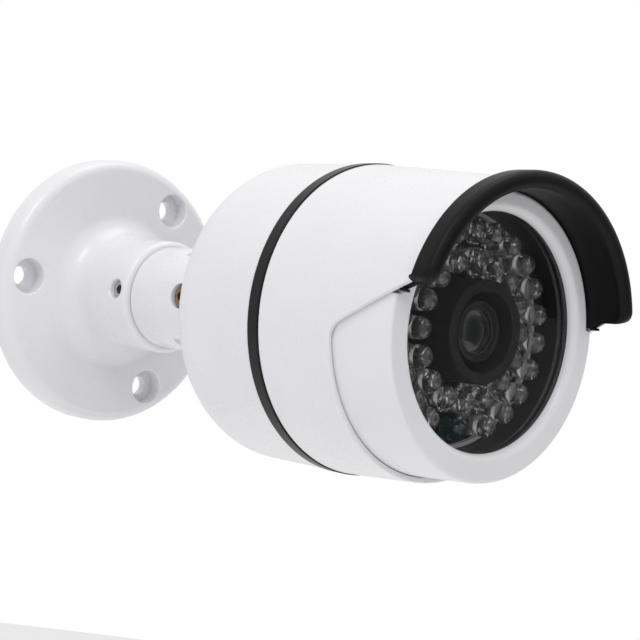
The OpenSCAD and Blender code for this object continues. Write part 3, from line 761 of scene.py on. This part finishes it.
def visor_section(angle):
    """The visor's section at an angle: a thin skirt that grows into the lip above LIP_LOW_Z."""
    z = LIP_R * math.sin(math.radians(angle))
    grown = math.sqrt(1 - (1 - share(z, LIP_LOW_Z, 0.6)) ** 2)
    back = NOSE_D + 0.7 - SKIRT_LEN * share(z, 5.8, 0.5)
    line = EDGE_D + (z + EAR_DROP) / EAR_SLOPE
    step = max(min(line - 0.7, HOOD_D + HOOD_LEAN * z + 0.08), back + 1.2)
    face = step + 0.7
    if grown > 0:
        rise = min(max(LIP_CORNER - (z - LIP_LOW_Z), 0), LIP_CORNER)
        face = HOOD_D + HOOD_LEAN * z + LIP_LEN - LIP_CORNER + math.sqrt(LIP_CORNER**2 - rise**2)
        face = max(face, step + 0.7)
    skirt = shell_at(step) - NEST
    out_r = skirt + (LIP_R - skirt) * grown
    in_r = skirt - VISOR_T + (LIP_R - LIP_T - skirt + VISOR_T) * grown
    soft = min((out_r - in_r) / 2 * 0.85, (face - step) * 0.85)
    profile = [(shell_at(back) - NEST - VISOR_T, back), (shell_at(back) - NEST, back)]
    profile += [(shell_at(step - 0.2) - NEST, step - 0.2), (skirt, step)]
    profile += [(out_r - 0.2 * grown, step), (out_r, step + 0.15)]
    profile += arc(out_r - soft, face - soft, soft, 0, 90, 9)
    profile += arc(in_r + soft, face - soft, soft, 90, 180, 9)
    return profile + [(in_r, step + 0.3), (skirt - VISOR_T, step - 1.0)]


def visor():
    """The black visor under the hood: a thin skirt that ends in a thick rounded lip ahead of the hood."""
    shade = swept("visor_lip", visor_section, lip_angles(), black_satin, wrap=False, sharp=50)
    return stands_for(shade, "camera", "black_plastic", "sunshade")


def window():
    """The gasket sleeve behind the window, and the pane with its ground edge."""
    gasket_in = WINDOW_R + GASKET_GAP
    soft = GASKET_ROUND
    profile = [(gasket_in + 0.2, GASKET_BACK), (GASKET_R, GASKET_BACK), (GASKET_R, GASKET_TOP)]
    profile += [(gasket_in + soft, GASKET_TOP)] + arc(gasket_in + soft, GASKET_TOP - soft, soft, 90, 180, 4)
    sleeve = lathe("window_sleeve", profile, sleeve_black)
    stands_for(sleeve, "camera", "black_rubber", "window_gasket")
    edge = GLASS_EDGE
    profile = [(0, GLASS_D), (GLASS_R - edge, GLASS_D), (GLASS_R, GLASS_D + edge)]
    profile += [(GLASS_R, GLASS_TOP - edge), (GLASS_R - edge, GLASS_TOP), (0, GLASS_TOP)]
    glass = lathe("window_pane", profile, pane)
    stands_for(glass, "camera", "clear_glass", "window_glass")


# ---------------------------------------------------------------- behind the window


def led_places():
    """Matrices of the LEDs of the inner and the outer ring, on the board's face."""
    step = 360 / INNER_COUNT
    inner = [on_axis(INNER_RING_R, INNER_START + i * step, BOARD_TOP) for i in range(INNER_COUNT)]
    step = 360 / OUTER_COUNT
    outer = [on_axis(OUTER_RING_R, OUTER_START + i * step, BOARD_TOP) for i in range(1, OUTER_COUNT - 1)]
    return inner, outer


def led_body():
    """Profile of an LED's clear body: a flanged foot and a domed top."""
    height = LED_TIP - BOARD_TOP
    foot_r = LED_R + LED_FLANGE
    body = [(0, 0.05), (foot_r - 0.02, 0.05), (foot_r, 0.12), (foot_r, LED_BASE_H - 0.1)]
    body += [(foot_r - 0.1, LED_BASE_H), (LED_R + 0.03, LED_BASE_H), (LED_R, LED_BASE_H + 0.05)]
    body += [(LED_R, LED_BASE_H + 0.4), (LED_R, height - LED_R - 0.2)]
    return body + arc(0, height - LED_R, LED_R, 0, 90, 10)


# The lead frame's sizes in mm, as profiles and box corners above the board's face.
LED_CUP = [(0, 3.0), (0.5, 3.05), (1.2, 4.1), (1.3, 4.1), (1.3, 3.4), (0.9, 2.7), (0, 2.7)]
LED_CUP_SHIFT = 0.2
LED_POST = ((0.0, -0.25, 0.3), (0.5, 0.25, 3.1))
LED_WIRE_POST = ((-1.45, -0.25, 0.3), (-0.95, 0.25, 3.6))
LED_WIRE_PAD = ((-1.7, -0.45, 3.2), (-0.75, 0.45, 3.75))
LED_CHIP = ((0.05, -0.2, 3.26), (0.45, 0.2, 3.5))


def led_ring(name, node, places):
    """A ring of clear LEDs: resin bodies, and inside them lead frames with a reflector cup and chip."""
    resins, frames, chips = bmesh.new(), bmesh.new(), bmesh.new()
    for place in places:
        turned(resins, place, led_body(), 32)
        turned(frames, place @ Matrix.Translation((LED_CUP_SHIFT * MM, 0, 0)), LED_CUP, 24)
        for low, high in (LED_POST, LED_WIRE_POST, LED_WIRE_PAD):
            block(frames, place, low, high)
        block(chips, place, *LED_CHIP)
    stands_for(finish_mesh(name + "_resin", resins, resin), "camera", "led_resin", node)
    stands_for(finish_mesh(name + "_frames", frames, steel), "camera", "steel")
    stands_for(finish_mesh(name + "_chips", chips, moulded_chip), "camera", "chip")


def light_sensor():
    """The light sensor: a low tinted dome with a dark chip inside."""
    place = on_axis(OUTER_RING_R, OUTER_START, BOARD_TOP)
    dome, chip = bmesh.new(), bmesh.new()
    profile = [(0, 0.05), (LED_R - 0.1, 0.05), (LED_R, 0.2), (LED_R, 3.0)]
    profile += arc(0, 3.2, LED_R, 0, 90, 10)
    turned(dome, place, profile, 32)
    block(chip, place, (-0.8, -0.8, 1.2), (0.8, 0.8, 1.6))
    stands_for(finish_mesh("sensor_dome", dome, tinted_resin), "camera", "sensor_resin", "light_sensor")
    stands_for(finish_mesh("sensor_chip", chip, moulded_chip), "camera", "chip")


def board_parts():
    """Small resistors and solder rings on the face of the LED board."""
    resistors, ends = bmesh.new(), bmesh.new()
    for i in range(8):
        place = on_axis((INNER_RING_R + OUTER_RING_R) / 2, 45 * i + 20, BOARD_TOP)
        block(resistors, place, (-0.4, -0.55, 0.02), (0.4, 0.55, 0.45))
        block(ends, place, (-0.42, -0.8, 0.02), (0.42, -0.5, 0.47))
        block(ends, place, (-0.42, 0.5, 0.02), (0.42, 0.8, 0.47))
    stands_for(finish_mesh("board_resistors", resistors, moulded_chip), "camera", "chip")
    stands_for(finish_mesh("resistor_ends", ends, steel), "camera", "steel")


def baffle():
    """The black light baffle that stands round the lens, with rounded front edges."""
    soft = BAFFLE_ROUND
    back = BOARD_BACK - 3
    foot_r, foot_top = BAFFLE_R + BAFFLE_FOOT, BOARD_BACK - 0.05
    profile = [(BAFFLE_HOLE_R, back), (foot_r, back), (foot_r, foot_top), (BAFFLE_R, foot_top)]
    profile += arc(BAFFLE_R - soft, BAFFLE_TOP - soft, soft, 0, 90, 6)
    profile += arc(BAFFLE_HOLE_R + soft, BAFFLE_TOP - soft, soft, 90, 180, 6)
    ring = lathe("baffle_ring", profile, rubber, segments=128)
    return stands_for(ring, "camera", "black_plastic", "lens_baffle")


def lens_body(glass_r, glass_back):
    """The lens barrel: a threaded tail, and a wider head with fine rings down to the front glass."""
    head_back = LENS_TOP - LENS_HEAD_LEN
    back = reach("lens_barrel")[1]
    mouth_r = glass_r + 0.1
    profile = [(LENS_BORE_R, back), (LENS_THREAD_R - 0.3, back)]
    profile += [(LENS_THREAD_R, back + 0.3), (LENS_THREAD_R, head_back)]
    profile += [(LENS_HEAD_R - 0.3, head_back), (LENS_HEAD_R, head_back + 0.3)]
    profile += arc(LENS_HEAD_R - 0.5, LENS_TOP - 0.5, 0.5, 0, 90, 6)
    profile += [(LENS_HEAD_R - 0.9, LENS_TOP), (LENS_HEAD_R - 1.0, LENS_TOP - 0.15)]
    for i in range(LENS_RINGS):
        r, d = LENS_HEAD_R - 1.15 - LENS_RING_STEP * i, LENS_TOP - 0.15 - LENS_RING_STEP * i
        profile += [(r, d), (r - 0.05, d - 0.2)]
    profile += [(mouth_r, LENS_TOP - 0.9), (mouth_r, glass_back - 0.05), (LENS_BORE_R, glass_back - 0.05)]
    return lathe("lens_body", profile, anodised, segments=128, hold=0.1)


def front_element(glass_r, glass_back, glass_top):
    """The front glass: flat behind and a shallow part of a ball in front."""
    ball = (glass_r**2 + FRONT_GLASS_RISE**2) / (2 * FRONT_GLASS_RISE)
    rim = math.asin(glass_r / ball)
    turns = [rim * (1 - i / 12) for i in range(13)]
    profile = [(0, glass_back), (glass_r, glass_back)]
    profile += [(ball * math.sin(t), glass_top - ball + ball * math.cos(t)) for t in turns]
    return lathe("front_element", profile, coated_glass, segments=96)


def aperture_stop(glass_back):
    """The black cone with a small hole behind the front glass."""
    back = glass_back - 2.2
    profile = [(STOP_R, back), (STOP_R, glass_back - 0.2), (2.6, glass_back - 0.6)]
    profile += [(STOP_HOLE_R, glass_back - 2.0), (STOP_HOLE_R, back)]
    return lathe("aperture_stop", profile, black_matt, segments=96)


def inner_element(glass_back):
    """The domed glass deep inside, behind the stop."""
    back = glass_back - 4.6
    turns = [math.radians(a) for a in range(0, 91, 9)]
    profile = [(0, back), (INNER_GLASS_R, back)]
    profile += [(INNER_GLASS_R * math.cos(t), back + 0.4 + INNER_GLASS_RISE * math.sin(t)) for t in turns]
    return lathe("inner_element", profile, deep_glass, segments=96)


def lens():
    """The lens: its barrel, front glass, stop and inner glass."""
    glass_r, glass_back, glass_top = reach("lens_front_glass")
    stands_for(lens_body(glass_r, glass_back), "lens", "black_metal", "lens_barrel")
    stands_for(front_element(glass_r, glass_back, glass_top), "lens", "lens_glass", "lens_front_glass")
    stands_for(aperture_stop(glass_back), "lens", "black_metal")
    stands_for(inner_element(glass_back), "lens", "lens_glass")


# ---------------------------------------------------------------- stage, lights and camera

# Lengths here are in metres and angles in degrees.
AIM = Vector((0.009, -0.081, -0.001))
DISTANCE = 0.400
VIEW_TURN = 42.7
VIEW_RISE = 1.8
VIEW_ROLL = 8.5
LENS_MM = 90.45
FLOOR_Z = -0.30
FLOOR_R = 1.2
LIGHT_BELOW = 0.60
LIGHT_ABOVE = 0.92
DIM_WAY = Vector((0.60, -0.80, 0.0))
DIM_EDGE = 0.82
DIM_CORE = 0.97
DIM_LIGHT = 0.12  # light from DIM_WAY, as a share of the light beside it


def view_camera():
    """The camera, at the photo's angle and with its slight roll."""
    turn, rise = math.radians(VIEW_TURN), math.radians(VIEW_RISE)
    ahead = Vector((math.sin(turn) * math.cos(rise), math.cos(turn) * math.cos(rise), math.sin(rise)))
    level = Vector((math.cos(turn), -math.sin(turn), 0))
    top = level.cross(ahead)
    roll = math.radians(VIEW_ROLL)
    right = level * math.cos(roll) + top * math.sin(roll)
    up = top * math.cos(roll) - level * math.sin(roll)
    data = bpy.data.cameras.new("photo_camera")
    data.lens = LENS_MM
    data.sensor_width = 36
    data.clip_start = 0.01
    camera = bpy.data.objects.new("photo_camera", data)
    bpy.context.scene.collection.objects.link(camera)
    facing = Matrix((right, up, -ahead)).transposed().to_4x4()
    camera.matrix_world = Matrix.Translation(AIM - ahead * DISTANCE) @ facing
    bpy.context.scene.camera = camera


def area_light(name, place, aim, size, power):
    """A soft square lamp that faces a point."""
    data = bpy.data.lights.new(name, "AREA")
    data.energy = power
    data.size = size
    lamp = bpy.data.objects.new(name, data)
    lamp.location = place
    lamp.rotation_euler = (Vector(aim) - Vector(place)).to_track_quat("-Z", "Y").to_euler()
    bpy.context.scene.collection.objects.link(lamp)


def surround():
    """A white surround, softer from below, that stays dim where the window mirrors it."""
    world = bpy.data.worlds.new("surround")
    world.use_nodes = True
    tree = world.node_tree
    light = tree.nodes["Background"]

    def add(kind, **settings):
        node = tree.nodes.new(kind)
        for key, value in settings.items():
            setattr(node, key, value)
        return node

    def ramp(source, start, end, low, high):
        node = add("ShaderNodeMapRange")
        node.interpolation_type = "SMOOTHSTEP"
        for name, value in (("From Min", start), ("From Max", end), ("To Min", low), ("To Max", high)):
            node.inputs[name].default_value = value
        tree.links.new(source, node.inputs["Value"])
        return node.outputs["Result"]

    way = add("ShaderNodeTexCoord").outputs["Generated"]
    split = add("ShaderNodeSeparateXYZ")
    tree.links.new(way, split.inputs["Vector"])
    height = ramp(split.outputs["Z"], -0.9, 0.9, LIGHT_BELOW, LIGHT_ABOVE)
    dot = add("ShaderNodeVectorMath", operation="DOT_PRODUCT")
    tree.links.new(way, dot.inputs[0])
    dot.inputs[1].default_value = DIM_WAY.normalized()
    dim = ramp(dot.outputs["Value"], DIM_EDGE, DIM_CORE, 1.0, DIM_LIGHT)
    strength = add("ShaderNodeMath", operation="MULTIPLY")
    tree.links.new(height, strength.inputs[0])
    tree.links.new(dim, strength.inputs[1])
    tree.links.new(strength.outputs["Value"], light.inputs["Strength"])
    light.inputs["Color"].default_value = (1, 1, 1, 1)
    backdrop = add("ShaderNodeBackground")
    backdrop.inputs["Strength"].default_value = 1.0
    backdrop.inputs["Color"].default_value = (1, 1, 1, 1)
    mix = add("ShaderNodeMixShader")
    tree.links.new(add("ShaderNodeLightPath").outputs["Is Camera Ray"], mix.inputs["Fac"])
    tree.links.new(light.outputs["Background"], mix.inputs[1])
    tree.links.new(backdrop.outputs["Background"], mix.inputs[2])
    tree.links.new(mix.outputs["Shader"], tree.nodes["World Output"].inputs["Surface"])
    bpy.context.scene.world = world


def studio():
    """A pale floor, a white surround and soft lamps."""
    builder = bmesh.new()
    bmesh.ops.create_circle(builder, cap_ends=True, radius=FLOOR_R, segments=96)
    paper = coated(
        "floor_paper", (0.9, 0.9, 0.9), (0.88, 0.88, 0.88), roughness=0.8, grain_mm=2.0, depth_mm=0.02
    )
    floor = finish_mesh("floor", builder, paper)
    floor.location = (0, -0.08, FLOOR_Z)
    surround()
    bpy.context.scene.view_settings.view_transform = "Standard"
    middle = (0, -0.09, 0)
    area_light("key", (-0.55, -0.45, 0.65), middle, 0.35, 1.6)
    area_light("top", (0.15, -0.15, 0.8), middle, 0.5, 1.2)


dress_nodes()
bracket()
rear_shell()
front_shell()
seam_ring()
bezel()
visor()
window()
inner_leds, outer_leds = led_places()
led_ring("inner_leds", "leds_inner", inner_leds)
led_ring("outer_leds", "leds_outer", outer_leds)
light_sensor()
board_parts()
baffle()
lens()
view_camera()
studio()
